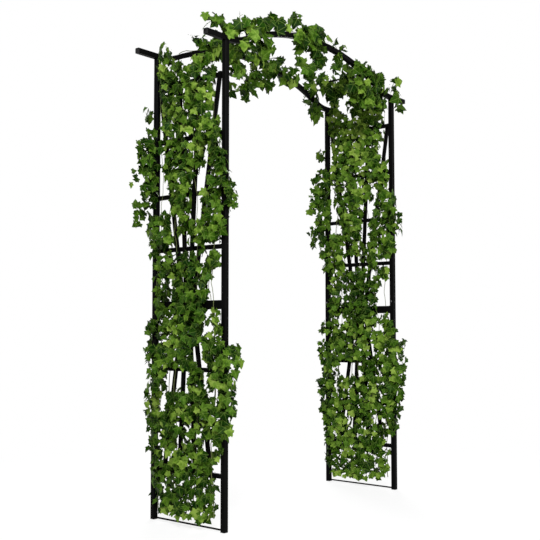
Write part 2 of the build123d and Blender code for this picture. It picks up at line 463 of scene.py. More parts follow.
@dataclass(frozen=True, kw_only=True)
class Finish:
    """A surface with the shared grain in its roughness and its bump.

    Attributes:
        name: the material's name.
        roughness: its middle roughness.
        roughness_spread: how far the roughness swings.
        specular: how strongly it mirrors at a straight look.
        grain_scale: grain per metre.
        grain_depth: height of the grain in metres.
    """

    name: str
    roughness: float
    roughness_spread: float = 0.1
    specular: float = 0.35
    grain_scale: float = 420.0
    grain_depth: float = 0.0003

    def grained(self, effects: Effects) -> tuple[bpy.types.Material, NodeTree, bpy.types.Node]:
        """Starts the material with its grain.

        Args:
            effects: the shared shader groups.

        Returns:
            The material, its tree and its shader, which has no colour yet.
        """
        paint = bpy.data.materials.new(self.name)
        paint.use_nodes = True
        tree = NodeTree(paint.node_tree)
        shader = paint.node_tree.nodes["Principled BSDF"]
        shader.inputs["Specular IOR Level"].default_value = self.specular
        grain = tree.add("ShaderNodeGroup", node_tree=effects.grain)
        grain.inputs["Grain Scale"].default_value = self.grain_scale
        grain.inputs["Roughness"].default_value = self.roughness
        grain.inputs["Spread"].default_value = self.roughness_spread
        tree.link(grain.outputs["Roughness"], shader.inputs["Roughness"])
        bump = tree.add("ShaderNodeBump")
        bump.inputs["Distance"].default_value = self.grain_depth
        tree.link(grain.outputs["Height"], bump.inputs["Height"])
        tree.link(bump.outputs["Normal"], shader.inputs["Normal"])
        return paint, tree, shader


@dataclass(frozen=True, kw_only=True)
class HardFinish(Finish):
    """A coat, moulding, bark or bare metal with a little dust.

    Attributes:
        colour: its linear base colour.
        metallic: 1 for bare metal.
        dust: how much dust lies on it.
        dust_colour: the dust's linear colour.
    """

    colour: Colour
    metallic: float = 0.0
    dust: float = 0.0
    dust_colour: Colour = (0.20, 0.19, 0.17)

    def material(self, effects: Effects) -> bpy.types.Material:
        """Builds the material.

        Args:
            effects: the shared shader groups.

        Returns:
            The material.
        """
        paint, tree, shader = self.grained(effects)
        shader.inputs["Metallic"].default_value = self.metallic
        dust = tree.add("ShaderNodeGroup", node_tree=effects.dust)
        dust.inputs["Amount"].default_value = self.dust
        blend = tree.add("ShaderNodeMix", data_type="RGBA")
        blend.inputs["A"].default_value = (*self.colour, 1.0)
        blend.inputs["B"].default_value = (*self.dust_colour, 1.0)
        tree.link(dust.outputs["Mask"], blend.inputs["Factor"])
        tree.link(blend.outputs["Result"], shader.inputs["Base Color"])
        return paint


@dataclass(frozen=True, kw_only=True)
class IvyLeafFinish(Finish):
    """Waxy ivy green, from old dark leaves to young yellow-green ones, with pale veins.

    Attributes:
        greens: linear colours from the darkest leaf to the palest, with their places. The tint that picks
            them carries painted light and shade as well as the leaves' own tones.
        cool: what the colour of a bluish dark leaf is multiplied by; leaves that are dark from painted
            shade turn bluish too.
        underside: linear colour of the back of a leaf.
        underside_share: how much of that colour the back has.
        vein: linear colour of the veins.
        vein_share: how much of that colour the veins have.
        vein_width: width of a vein, as a share of the leaf's length.
        vein_angles: directions of the veins off the midrib, in degrees.
        mottle: how far the green changes within a leaf, as a share of the range of greens.
        mottle_scale: patches of mottling per metre.
    """

    name: str = "Ivy leaf"
    roughness: float = 0.38
    roughness_spread: float = 0.2
    specular: float = 0.02
    grain_scale: float = 160.0
    grain_depth: float = 0.0012
    greens: tuple[tuple[float, Colour], ...] = (
        (0.00, (0.003, 0.014, 0.0005)),
        (0.35, (0.015, 0.043, 0.0015)),
        (0.70, (0.051, 0.104, 0.008)),
        (0.90, (0.101, 0.168, 0.019)),
        (1.00, (0.148, 0.220, 0.036)),
    )
    cool: Colour = (0.72, 1.0, 1.6)
    underside: Colour = (0.080, 0.135, 0.024)
    underside_share: float = 0.5
    vein: Colour = (0.190, 0.270, 0.060)
    vein_share: float = 0.55
    vein_width: float = 0.022
    vein_angles: tuple[float, ...] = (0.0, 54.0, 100.0)
    mottle: float = 0.9
    mottle_scale: float = 60.0

    def vein_mask(self, tree: NodeTree) -> bpy.types.NodeSocket:
        """Draws veins as rays from the stalk, on the leaf's own UV map.

        Args:
            tree: the material's tree.

        Returns:
            1 on a vein and 0 away from it.
        """
        layout = tree.add("ShaderNodeUVMap", uv_map=LEAF_LAYOUT)
        parts = tree.add("ShaderNodeSeparateXYZ")
        tree.link(layout.outputs["UV"], parts.inputs["Vector"])
        across = tree.math("SUBTRACT", parts.outputs["X"], IvyLeafShape.UV_MIDDLE)
        across = tree.math("ABSOLUTE", across)
        along = tree.math("SUBTRACT", parts.outputs["Y"], IvyLeafShape.UV_BASE)
        reach = tree.math("ADD", tree.math("POWER", across, 2.0), tree.math("POWER", along, 2.0))
        reach = tree.math("SQRT", reach)
        bearing = tree.math("ARCTAN2", across, along)
        nearest: bpy.types.NodeSocket | None = None
        for angle in self.vein_angles:
            turn = tree.math("ABSOLUTE", tree.math("SUBTRACT", bearing, math.radians(angle)))
            nearest = turn if nearest is None else tree.math("MINIMUM", nearest, turn)
        off = tree.math("DIVIDE", tree.math("MULTIPLY", nearest, reach), self.vein_width)
        return tree.math("MAXIMUM", tree.math("SUBTRACT", 1.0, off), 0.0)

    def material(self, effects: Effects) -> bpy.types.Material:
        """Builds the material.

        Args:
            effects: the shared shader groups.

        Returns:
            The material.
        """
        paint, tree, shader = self.grained(effects)
        tint = tree.add("ShaderNodeAttribute", attribute_name=TINT)
        ramp = tree.add("ShaderNodeValToRGB")
        for stop, colour in self.greens[1:-1]:
            ramp.color_ramp.elements.new(stop).color = (*colour, 1.0)
        ramp.color_ramp.elements[0].color = (*self.greens[0][1], 1.0)
        ramp.color_ramp.elements[-1].color = (*self.greens[-1][1], 1.0)
        place = tree.add("ShaderNodeTexCoord")
        patches = tree.add("ShaderNodeTexNoise", noise_dimensions="3D")
        patches.inputs["Scale"].default_value = self.mottle_scale
        tree.link(place.outputs["Object"], patches.inputs["Vector"])
        shift = tree.math("SUBTRACT", patches.outputs["Fac"], NOISE_MIDDLE)
        tree.link(tree.math("MULTIPLY_ADD", shift, self.mottle, tint.outputs["Fac"]), ramp.inputs["Fac"])
        chill = tree.add("ShaderNodeAttribute", attribute_name=CHILL)
        cooled = tree.add("ShaderNodeMix", data_type="RGBA", blend_type="MULTIPLY")
        cooled.inputs["B"].default_value = (*self.cool, 1.0)
        # Darker tints, painted shade among them, take more of the cool colour
        darkening = tree.math("SUBTRACT", 1.0, tint.outputs["Fac"])
        tree.link(tree.math("MULTIPLY", chill.outputs["Fac"], darkening), cooled.inputs["Factor"])
        tree.link(ramp.outputs["Color"], cooled.inputs["A"])
        veined = tree.add("ShaderNodeMix", data_type="RGBA")
        veined.inputs["B"].default_value = (*self.vein, 1.0)
        veins = tree.math("MULTIPLY", self.vein_mask(tree), self.vein_share)
        tree.link(veins, veined.inputs["Factor"])
        tree.link(cooled.outputs["Result"], veined.inputs["A"])
        back = tree.add("ShaderNodeAttribute", attribute_name=UNDERSIDE)
        turned = tree.add("ShaderNodeMix", data_type="RGBA")
        turned.inputs["B"].default_value = (*self.underside, 1.0)
        paler = tree.math("MULTIPLY", back.outputs["Fac"], self.underside_share)
        tree.link(paler, turned.inputs["Factor"])
        tree.link(veined.outputs["Result"], turned.inputs["A"])
        tree.link(turned.outputs["Result"], shader.inputs["Base Color"])
        return paint


FRAME_COAT = HardFinish(
    name="Satin black powder coat", colour=(0.002, 0.002, 0.002), roughness=0.44, specular=0.02, dust=0.006
)
INNER_TUBE = HardFinish(
    name="Black undercoat", colour=(0.008, 0.008, 0.008), roughness=0.55, specular=0.10
)
BLACK_MOULDING = HardFinish(
    name="Black moulded plastic",
    colour=(0.010, 0.010, 0.010),
    roughness=0.6,
    specular=0.12,
    grain_scale=900.0,
)
DARK_STEEL = HardFinish(
    name="Blackened screw steel", colour=(0.16, 0.16, 0.165), roughness=0.38, metallic=1.0
)
IVY_BARK = HardFinish(
    name="Ivy bark",
    colour=(0.085, 0.100, 0.030),
    roughness=0.75,
    roughness_spread=0.2,
    grain_scale=320.0,
    grain_depth=0.0015,
)


# Frame

@dataclass
class SteelFrame:
    """The CAD nodes that stay in view, with a finish for each of them.

    Attributes:
        effects: the shared shader groups.
        fastener_nodes: nodes of bare fasteners.
        plastic_nodes: nodes of plastic caps and plugs.
        inner_nodes: nodes that sit inside tubes.
        ivy_nodes: nodes that other classes replace.
    """

    effects: Effects
    fastener_nodes: tuple[str, ...] = ("coupler_screws", "joint_rail_bolts", "joint_rail_nuts")
    plastic_nodes: tuple[str, ...] = ("rib_end_caps", "foot_plugs")
    inner_nodes: tuple[str, ...] = ("rib_spigots", "post_couplers")
    ivy_nodes: tuple[str, ...] = IVY_NODES

    def dress(self) -> None:
        """Gives each frame node its finish."""
        coat = FRAME_COAT.material(self.effects)
        special = {
            self.fastener_nodes: DARK_STEEL.material(self.effects),
            self.plastic_nodes: BLACK_MOULDING.material(self.effects),
            self.inner_nodes: INNER_TUBE.material(self.effects),
        }
        for name, node in frame["nodes"].items():
            if name in self.ivy_nodes:
                continue
            finish = next((paint for names, paint in special.items() if name in names), coat)
            node.data.materials.clear()
            node.data.materials.append(finish)
            log.info("%s: %s", name, finish.name)


@dataclass
class WeldBeads:
    """A welded bead round each rail end, where it meets its post.

    Attributes:
        effects: the shared shader groups.
        bead: radius of the bead.
        sides: faces round the bead.
        steps: points along each side of the rail.
        ripple: how far the bead's radius swings, as a share of it.
        ripple_turn: turn of that swing from one point to the next, in radians.
    """

    effects: Effects
    bead: float = 1.7 * MM
    sides: int = 6
    steps: int = 4
    ripple: float = 0.18
    ripple_turn: float = 2.3

    def rail_names(self) -> list[str]:
        """Returns the nodes of the rails."""
        return sorted(name for name in frame["nodes"] if name.endswith("_rail"))

    def loop_mesh(self, width: float, height: float) -> bpy.types.Mesh:
        """Makes one bead as a closed loop round a rail's section.

        Args:
            width: the rail's size along X.
            height: the rail's size along Z.

        Returns:
            A closed ring, about the origin, in the XZ plane.
        """
        corners = [(-0.5, -0.5), (0.5, -0.5), (0.5, 0.5), (-0.5, 0.5)]
        path = []
        for start, end in zip(corners, corners[1:] + corners[:1]):
            for step in range(self.steps):
                share = step / self.steps
                x = start[0] + (end[0] - start[0]) * share
                z = start[1] + (end[1] - start[1]) * share
                path.append(Vector((x * width, 0.0, z * height)))
        work = bmesh.new()
        rings = []
        for index, point in enumerate(path):
            outward = point.normalized()
            swell = self.bead * (1.0 + self.ripple * math.sin(self.ripple_turn * index))
            ring = []
            for side in range(self.sides):
                turn = math.tau * side / self.sides
                offset = outward * math.cos(turn) + Vector((0.0, math.sin(turn), 0.0))
                ring.append(work.verts.new(point + offset * swell))
            rings.append(ring)
        for here, there in zip(rings, rings[1:] + rings[:1]):
            for side in range(self.sides):
                after = (side + 1) % self.sides
                face = work.faces.new((here[side], here[after], there[after], there[side]))
                face.smooth = True
        bmesh.ops.recalc_face_normals(work, faces=work.faces)
        return finished_mesh("weld_bead", work)

    def tree(self) -> GeometryTree:
        """Builds the tree that sets a bead on each point.

        Returns:
            The tree.
        """
        tree = GeometryTree("Seated beads", {"Bead": TreeSocket.OBJECT, "Finish": TreeSocket.MATERIAL})
        shape = tree.add("GeometryNodeObjectInfo")
        seats = tree.add("GeometryNodeInstanceOnPoints")
        tree.link(tree.entry.outputs["Bead"], shape.inputs["Object"])
        tree.link(tree.entry.outputs["Geometry"], seats.inputs["Points"])
        tree.link(shape.outputs["Geometry"], seats.inputs["Instance"])
        tree.close(seats.outputs["Instances"])
        return tree

    def build(self) -> None:
        """Makes the beads of all rails as one piece."""
        points = []
        for name in self.rail_names():
            low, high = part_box(name)
            middle = [(a + b) / 2 for a, b in zip(low, high)]
            for end in (low[1] + self.bead / 2, high[1] - self.bead / 2):
                points.append((middle[0], end, middle[2]))
        low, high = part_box(self.rail_names()[0])
        bead = link_object("weld_bead", self.loop_mesh(high[0] - low[0], high[2] - low[2]))
        seats = bpy.data.meshes.new("bead_seats")
        seats.from_pydata(points, [], [])
        piece = self.tree().plain_mesh(
            link_object("bead_seats", seats),
            "rail_weld_beads",
            Bead=bead,
            Finish=bpy.data.materials[FRAME_COAT.name],
        )
        bpy.data.objects.remove(bead)
        seat_piece(piece, "frame")


# Ivy

@dataclass(frozen=True)
class IvyLeafShape:
    """One leaf of ivy, as a thin closed blade with five lobes and a stalk.

    Attributes:
        name: the leaf's name.
        side_lobe: reach of the side lobes, against the leaf's length.
        base_lobe: reach of the lobes beside the stalk.
        shoulder: width of the blade between side lobe and tip.
        droop: how far lobes and tip hang.
        fold: how far the halves rise from the midrib.
        thickness: the blade's thickness, against its length.
        stalk: length of the stalk, against the leaf's length.
        MIDRIB: places of the midrib's points along the leaf.
        MIDDLE: place of the blade's middle along the leaf.
        UV_BASE: height of the stalk's end of the blade on the UV map.
        UV_MIDDLE: place of the midrib across the UV map.
        STALK_ROOT: place where the stalk meets the blade.
        STALK_RADIUS: radius of the stalk.
        STALK_SIDES: faces round the stalk.
        STALK_BACK: how far the stalk runs back from the blade, against its length.
        STALK_DROP: how far it runs under the blade, against its length.
    """

    name: str
    side_lobe: float = 0.60
    base_lobe: float = 0.44
    shoulder: float = 0.24
    droop: float = 0.22
    fold: float = 0.24
    thickness: float = 0.014
    stalk: float = 0.24

    MIDRIB = (0.25, 0.60)
    MIDDLE = 0.34
    UV_BASE = 0.2
    UV_MIDDLE = 0.5
    STALK_ROOT = 0.03
    STALK_RADIUS = 0.022
    STALK_SIDES = 3
    STALK_BACK = 0.5
    STALK_DROP = 0.85

    def half_outline(self) -> list[Span]:
        """Returns the blade's right half, from the stalk to the tip."""
        return [
            (0.0, 0.0),
            (0.18, -0.12),
            (self.base_lobe, -0.08),
            (0.36, 0.12),
            (0.49, 0.22),
            (self.side_lobe, 0.42),
            (0.35, 0.48),
            (self.shoulder, 0.70),
            (0.0, 1.0),
        ]

    def height(self, x: float, y: float) -> float:
        """Returns how far the blade stands up at a place on it."""
        reach = x * x + (y - self.MIDDLE) ** 2
        return self.fold * abs(x) - self.droop * reach

    def mesh(self) -> bpy.types.Mesh:
        """Makes the leaf, one unit long, with its tip along +Y and its face along +Z.

        Returns:
            A closed mesh with a UV map and a mark on its underside.
        """
        work = bmesh.new()
        layout = work.loops.layers.uv.new(LEAF_LAYOUT)
        under = work.verts.layers.float.new(UNDERSIDE)
        right = self.half_outline()
        left = [(-x, y) for x, y in right[1:-1]]
        rim = [self.vertex(work, x, y, 0.0) for x, y in right + left[::-1]]
        faces = []
        for drop, flip in ((self.thickness / 2, False), (-self.thickness / 2, True)):
            ribs = [self.vertex(work, 0.0, y, drop) for y in self.MIDRIB]
            for rib in ribs:
                rib[under] = 1.0 if flip else 0.0
            faces += self.blade(work, rim, ribs, flip)
        for start, end in zip(rim, rim[1:] + rim[:1]):
            work.edges.get((start, end)).smooth = False
        faces += self.stalk_faces(work)
        for face in faces:
            face.smooth = True
            for loop in face.loops:
                x, y = loop.vert.co.x, loop.vert.co.y + self.MIDDLE
                loop[layout].uv = (self.UV_MIDDLE + x, self.UV_BASE + y)
        return finished_mesh(self.name, work)

    def vertex(self, work: bmesh.types.BMesh, x: float, y: float, drop: float) -> bmesh.types.BMVert:
        """Adds a point of the blade, whose origin is the blade's middle."""
        return work.verts.new((x, y - self.MIDDLE, self.height(x, y) + drop))

    def blade(
        self,
        work: bmesh.types.BMesh,
        rim: list[bmesh.types.BMVert],
        ribs: list[bmesh.types.BMVert],
        flip: bool,
    ) -> list[bmesh.types.BMFace]:
        """Fans one face of the blade from its midrib to its rim.

        Args:
            work: the mesh under way.
            rim: points of the outline, round from the stalk.
            ribs: the two points on the midrib.
            flip: True for the underside.

        Returns:
            The new faces.
        """
        count = len(rim)
        tip = count // 2
        shoulder = tip - 2
        crease = [rim[0], *ribs, rim[tip]]
        corners = []
        for start in range(shoulder):
            corners.append((ribs[0], rim[start], rim[start + 1]))
            corners.append((ribs[0], rim[(count - start - 1) % count], rim[(count - start) % count]))
        corners.append((ribs[0], rim[shoulder], ribs[1]))
        corners.append((ribs[0], ribs[1], rim[count - shoulder]))
        for start in (shoulder, shoulder + 1):
            corners.append((ribs[1], rim[start], rim[start + 1]))
            corners.append((ribs[1], rim[count - start - 1], rim[count - start]))
        faces = [work.faces.new(corner[::-1] if flip else corner) for corner in corners]
        for start, end in zip(crease, crease[1:]):
            work.edges.get((start, end)).smooth = False
        return faces

    def stalk_faces(self, work: bmesh.types.BMesh) -> list[bmesh.types.BMFace]:
        """Adds the stalk as a thin rod that bends back from the blade.

        Args:
            work: the mesh under way.

        Returns:
            The new faces.
        """
        root = self.height(0.0, self.STALK_ROOT) - self.STALK_RADIUS
        near = Vector((0.0, self.STALK_ROOT - self.MIDDLE, root))
        far = near + Vector((0.0, -self.STALK_BACK * self.stalk, -self.STALK_DROP * self.stalk))
        ends = []
        for middle in (near, far):
            ring = []
            for side in range(self.STALK_SIDES):
                turn = math.tau * side / self.STALK_SIDES
                outward = Vector((math.cos(turn), 0.0, math.sin(turn)))
                ring.append(work.verts.new(middle + outward * self.STALK_RADIUS))
            ends.append(ring)
        faces = [work.faces.new(ends[0]), work.faces.new(ends[1][::-1])]
        for side in range(self.STALK_SIDES):
            after = (side + 1) % self.STALK_SIDES
            faces.append(work.faces.new((ends[0][after], ends[0][side], ends[1][side], ends[1][after])))
        return faces


LEAF_SHAPES = (
    IvyLeafShape("ivy_leaf_star"),
    IvyLeafShape("ivy_leaf_broad", side_lobe=0.60, base_lobe=0.48, shoulder=0.26, droop=0.14, fold=0.16),
    IvyLeafShape("ivy_leaf_curled", side_lobe=0.58, base_lobe=0.42, shoulder=0.23, droop=0.34, fold=0.34),
    IvyLeafShape("ivy_leaf_pointed", side_lobe=0.54, base_lobe=0.40, shoulder=0.20, droop=0.24, fold=0.28),
)


@dataclass
class FrameClearance:
    """Keeps leaves from cutting into the frame: those that do are moved the least way that clears it.

    Attributes:
        leaf_points: number of points of a leaf.
        stride: how much farther a leaf is moved at each try.
        tries: number of tries in each direction.
        ways: the level directions, in the order in which they are tried.
        hidden: nodes that leaves and stems stand for, which leaves may touch.
        walls: the faces of the frame.
    """

    leaf_points: int
    stride: float = 4 * MM
    tries: int = 10
    ways: tuple[Axes, ...] = ((0, -1, 0), (-1, 0, 0), (0, 1, 0), (1, 0, 0))
    hidden: tuple[str, ...] = IVY_NODES
    walls: BVHTree = field(init=False)

    def __post_init__(self) -> None:
        """Gathers the faces of the frame."""
        bpy.context.view_layer.update()
        points: list[Vector] = []
        faces: list[tuple[int, ...]] = []
        for name, node in frame["nodes"].items():
            if name in self.hidden:
                continue
            first = len(points)
            points += [node.matrix_world @ point.co for point in node.data.vertices]
            faces += [tuple(first + corner for corner in face.vertices) for face in node.data.polygons]
        self.walls = BVHTree.FromPolygons(points, faces)

    def cuts(self, points: list[Vector], faces: list[tuple[int, ...]]) -> list[int]:
        """Returns the faces that cut into the frame, by number."""
        return [face for face, _ in BVHTree.FromPolygons(points, faces).overlap(self.walls)]

    def free_offset(self, points: list[Vector], faces: list[tuple[int, ...]]) -> Vector | None:
        """Finds the least move that clears a leaf.

        Args:
            points: the leaf's points.
            faces: its faces.

        Returns:
            The move, or None where no move clears it.
        """
        for reach in range(1, self.tries + 1):
            for way in self.ways:
                offset = Vector(way) * self.stride * reach
                if not self.cuts([point + offset for point in points], faces):
                    return offset
        return None

    def clear(self, piece: bpy.types.Object) -> None:
        """Moves the leaves of a piece clear of the frame, and drops those that no move clears.

        Args:
            piece: the leaves, at the origin.
        """
        mesh = piece.data
        leaf_faces = len(mesh.polygons) * self.leaf_points // len(mesh.vertices)
        points = [point.co.copy() for point in mesh.vertices]
        faces = [tuple(face.vertices) for face in mesh.polygons]
        pattern = faces[:leaf_faces]
        stuck = []
        cutting = sorted({face // leaf_faces for face in self.cuts(points, faces)})
        for leaf in cutting:
            first = leaf * self.leaf_points
            numbers = range(first, first + self.leaf_points)
            offset = self.free_offset([points[number] for number in numbers], pattern)
            if offset is None:
                stuck += numbers
                continue
            for number in numbers:
                mesh.vertices[number].co = points[number] + offset
        work = bmesh.new()
        work.from_mesh(mesh)
        work.verts.ensure_lookup_table()
        bmesh.ops.delete(work, geom=[work.verts[number] for number in stuck], context="VERTS")
        work.to_mesh(mesh)
        work.free()
        log.info("%s: %d leaves cut, %d dropped", piece.name, len(cutting), len(stuck) // self.leaf_points)


@dataclass
class IvyKit:
    """Leaf shapes, tree and finish that every stand of ivy shares.

    Attributes:
        effects: the shared shader groups.
        shapes: the leaves to choose from.
        patch_scale: patches of older and younger leaves per metre.
        patch_depth: how much the patches differ in tint.
        upturn: how far leaves on top of a form look up, against those at its side that look out.
        chill: how far leaves differ in coolness, to either side of none.
        hang: where the tip of a leaf that hangs straight points.
        leaves: the leaves' meshes.
        tree: the tree that covers a form with leaves.
        finish: the leaves' material.
        clearance: what keeps leaves out of the frame.
    """

    effects: Effects
    shapes: tuple[IvyLeafShape, ...] = LEAF_SHAPES
    patch_scale: float = 7.0
    patch_depth: float = 1.2
    upturn: float = 0.3
    chill: float = 0.8
    hang: Axes = (0.0, 0.0, -1.0)
    leaves: bpy.types.Collection = field(init=False)
    tree: GeometryTree = field(init=False)
    finish: bpy.types.Material = field(init=False)
    clearance: FrameClearance = field(init=False)

    def __post_init__(self) -> None:
        """Makes the leaves, the scattering tree, the finish and the clearance."""
        self.leaves = bpy.data.collections.new("Ivy leaf shapes")
        for shape in self.shapes:
            self.leaves.objects.link(bpy.data.objects.new(shape.name, shape.mesh()))
        self.finish = IvyLeafFinish().material(self.effects)
        self.tree = self.scatter_tree()
        self.clearance = FrameClearance(len(self.leaves.objects[0].data.vertices))

    def scatter_tree(self) -> GeometryTree:
        """Builds the tree that covers a form with leaves.

        Returns:
            The tree. Leaves face out of the form, hang down, and vary in size, turn and tint.
        """
        tree = GeometryTree("Ivy cover", {
            "Leaves": TreeSocket.COLLECTION,
            "Spacing": TreeSocket.FLOAT,
            "Crowd": TreeSocket.FLOAT,
            "Jitter": TreeSocket.FLOAT,
            "Tumble": TreeSocket.FLOAT,
            "Swing": TreeSocket.FLOAT,
            "Sunward": TreeSocket.VECTOR,
            "Smallest": TreeSocket.FLOAT,
            "Largest": TreeSocket.FLOAT,
            "Seed": TreeSocket.INTEGER,
            "Finish": TreeSocket.MATERIAL,
        })
        sizes = tree.entry.outputs
        seats = tree.add("GeometryNodeDistributePointsOnFaces", distribute_method="POISSON")
        tree.link(sizes["Geometry"], seats.inputs["Mesh"])
        tree.link(sizes["Spacing"], seats.inputs["Distance Min"])
        tree.link(sizes["Crowd"], seats.inputs["Density Max"])
        tree.link(tree.attribute(LEAFINESS), seats.inputs["Density Factor"])
        tree.link(sizes["Seed"], seats.inputs["Seed"])
        shake = tree.add("GeometryNodeSetPosition")
        tree.link(seats.outputs["Points"], shake.inputs["Geometry"])
        jitter = tree.vector_math("SCALE", tree.random_vector(LeafSeed.JITTER), sizes["Jitter"])
        tree.link(jitter, shake.inputs["Offset"])
        tumble = tree.vector_math("SCALE", tree.random_vector(LeafSeed.TUMBLE), sizes["Tumble"])
        swing = tree.vector_math("SCALE", tree.random_vector(LeafSeed.SWING), sizes["Swing"])
        turn = tree.add("FunctionNodeAxesToRotation", primary_axis="Z", secondary_axis="Y")
        outward = tree.vector_math("MULTIPLY", seats.outputs["Normal"], (1.0, 1.0, self.upturn))
        facing = tree.vector_math("ADD", outward, sizes["Sunward"])
        tree.link(tree.vector_math("ADD", facing, tumble), turn.inputs["Primary Axis"])
        tree.link(tree.vector_math("ADD", swing, self.hang), turn.inputs["Secondary Axis"])
        kinds = tree.add("GeometryNodeCollectionInfo")
        kinds.inputs["Separate Children"].default_value = True
        kinds.inputs["Reset Children"].default_value = True
        tree.link(sizes["Leaves"], kinds.inputs["Collection"])
        choice = tree.random_choice(len(self.shapes), LeafSeed.SHAPE)
        place = tree.add("GeometryNodeInstanceOnPoints")
        place.inputs["Pick Instance"].default_value = True
        tree.link(shake.outputs["Geometry"], place.inputs["Points"])
        tree.link(kinds.outputs["Instances"], place.inputs["Instance"])
        tree.link(choice, place.inputs["Instance Index"])
        tree.link(turn.outputs["Rotation"], place.inputs["Rotation"])
        length = tree.random_number(sizes["Smallest"], sizes["Largest"], LeafSeed.SIZE)
        tree.link(length, place.inputs["Scale"])
        patches = tree.add("ShaderNodeTexNoise", noise_dimensions="3D")
        patches.inputs["Scale"].default_value = self.patch_scale
        shade = tree.math("SUBTRACT", patches.outputs["Fac"], NOISE_MIDDLE)
        own = tree.random_number(0.0, 1.0, LeafSeed.SHADE)
        shade = tree.math("MULTIPLY_ADD", shade, self.patch_depth, own)
        # The form's painted shading adds painted light and shade to the tint
        shade = tree.math("ADD", shade, tree.attribute(PAINTED_SHADING))
        tinted = tree.store(place.outputs["Instances"], TINT, shade)
        chill = tree.random_number(-self.chill, self.chill, LeafSeed.CHILL)
        tree.close(tree.store(tinted, CHILL, chill))
        return tree


@dataclass(frozen=True)
class LeafCover:
    """How leaves cover a form.

    Attributes:
        spacing: least distance between leaves.
        crowd: most leaves per square metre.
        jitter: how far a leaf stands off its seat.
        tumble: how far a leaf turns from facing out.
        swing: how far its tip swings from hanging straight down.
        sunward: where leaves turn to for light.
        smallest: length of the smallest leaf.
        largest: length of the largest leaf.
        seed: seed of the random choices.
    """

    spacing: float = 20.0 * MM
    crowd: float = 4000.0
    jitter: float = 10 * MM
    tumble: float = 0.75
    swing: float = 1.5
    sunward: Axes = (-0.18, -0.32, 0.18)
    smallest: float = 27 * MM
    largest: float = 47 * MM
    seed: int = 1

    def grow(self, kit: IvyKit, form: bpy.types.Object, name: str) -> bpy.types.Object:
        """Covers a form with leaves.

        Args:
            kit: the shared leaves, tree and finish.
            form: the form that is covered. It is removed.
            name: the name of the leaves as a piece.

        Returns:
            The leaves as a plain mesh.
        """
        piece = kit.tree.plain_mesh(
            form,
            name,
            Leaves=kit.leaves,
            Spacing=self.spacing,
            Crowd=self.crowd,
            Jitter=self.jitter,
            Tumble=self.tumble,
            Swing=self.swing,
            Sunward=self.sunward,
            Smallest=self.smallest,
            Largest=self.largest,
            Seed=self.seed,
            Finish=kit.finish,
        )
        kit.clearance.clear(piece)
        return piece


@dataclass(frozen=True)
class FoliageBand:
    """A level stretch of leaves on a trellis side, in millimetres.

    Attributes:
        bottom: height of its lower edge.
        top: height of its upper edge.
        spans: stretches across the side, counted from the middle towards the front.
        thick: how thick the leaves grow, at most 1.
        youth: how much lighter its leaves are painted, below 0 for painted shade.
    """

    bottom: float
    top: float
    spans: tuple[Span, ...]
    thick: float = 1.0
    youth: float = 0.0


# Bands with painted shading below 0 are painted darker as shade, those above 0 lighter as light
SIDE_BANDS = (
    FoliageBand(2130, 2190, ((-205, -140),)),
    FoliageBand(2100, 2130, ((-215, -100),)),
    FoliageBand(2065, 2100, ((-215, -70), (-10, 165)), youth=0.3),
    FoliageBand(2000, 2065, ((-215, 160),), youth=-0.22),
    FoliageBand(1950, 2000, ((-200, 165),), youth=-0.2),
    FoliageBand(1900, 1950, ((-200, 150),)),
    FoliageBand(1850, 1900, ((-300, -240), (-185, 150))),
    FoliageBand(1800, 1850, ((-190, 150),)),
    FoliageBand(1760, 1800, ((-290, -205), (-190, 185))),
    FoliageBand(1710, 1760, ((-350, -205), (-190, -30), (10, 200))),
    FoliageBand(1650, 1710, ((-355, -200), (-180, 100), (110, 200))),
    FoliageBand(1600, 1650, ((-350, -210), (-180, 100), (110, 230))),
    FoliageBand(1550, 1600, ((-380, -320), (-305, -200), (-150, 40), (110, 240))),
    FoliageBand(1500, 1550, ((-325, -195), (-150, 30), (100, 240))),
    FoliageBand(1450, 1500, ((-310, -205), (-120, 20), (80, 200), (210, 290))),
    FoliageBand(1400, 1450, ((-370, -255), (-120, 20), (80, 200), (210, 290))),
    FoliageBand(1350, 1400, ((-370, -300), (-280, -110), (-80, 15), (85, 220))),
    FoliageBand(1300, 1350, ((-280, -110), (-80, -10), (0, 250))),
    FoliageBand(1265, 1300, ((-250, -90), (0, 210))),
    FoliageBand(1205, 1265, ((-250, -180), (-160, -110), (60, 110))),
    FoliageBand(1150, 1205, ((-230, -90), (-100, 60), (100, 190)), youth=-0.15),
    FoliageBand(1100, 1150, ((-230, -90), (-100, 140)), youth=-0.2),
    FoliageBand(1000, 1100, ((-215, -130), (-110, 120)), youth=-0.25),
    FoliageBand(950, 1000, ((-220, -150), (-130, 120)), youth=-0.15),
    FoliageBand(900, 950, ((-200, -130), (-110, 120), (130, 190))),
    FoliageBand(850, 900, ((-270, -200), (-190, 90), (160, 220))),
    FoliageBand(800, 850, ((-200, 220),), 0.9),
    FoliageBand(700, 800, ((-290, 60), (90, 320)), 0.9),
    FoliageBand(600, 700, ((-260, -140), (0, 100), (110, 300)), 0.9),
    FoliageBand(500, 600, ((-285, -180), (-150, 290)), 0.9),
    FoliageBand(400, 500, ((-280, 270),), 0.9),
    FoliageBand(330, 400, ((-255, -65), (-35, 100), (180, 230)), 0.9),
    FoliageBand(300, 330, ((-255, 220),), 0.9),
    FoliageBand(200, 300, ((-245, 150),), 0.9, -0.15),
    FoliageBand(100, 200, ((-235, 180),), 0.9, -0.2),
    FoliageBand(50, 100, ((-215, 165),), 0.9, 0.1),
)


@dataclass(frozen=True)
class LeafLayer:
    """A sheet of leaves on one face of a trellis side.

    Attributes:
        face: -1 for the left face of the side and 1 for the right one.
        thick: how thick the leaves grow, at most 1.
        swell: how far the sheet swells away from the trellis, at most 1.
        youth: how much lighter its leaves are painted, below 0 for painted shade.
    """

    face: int
    thick: float
    swell: float
    youth: float


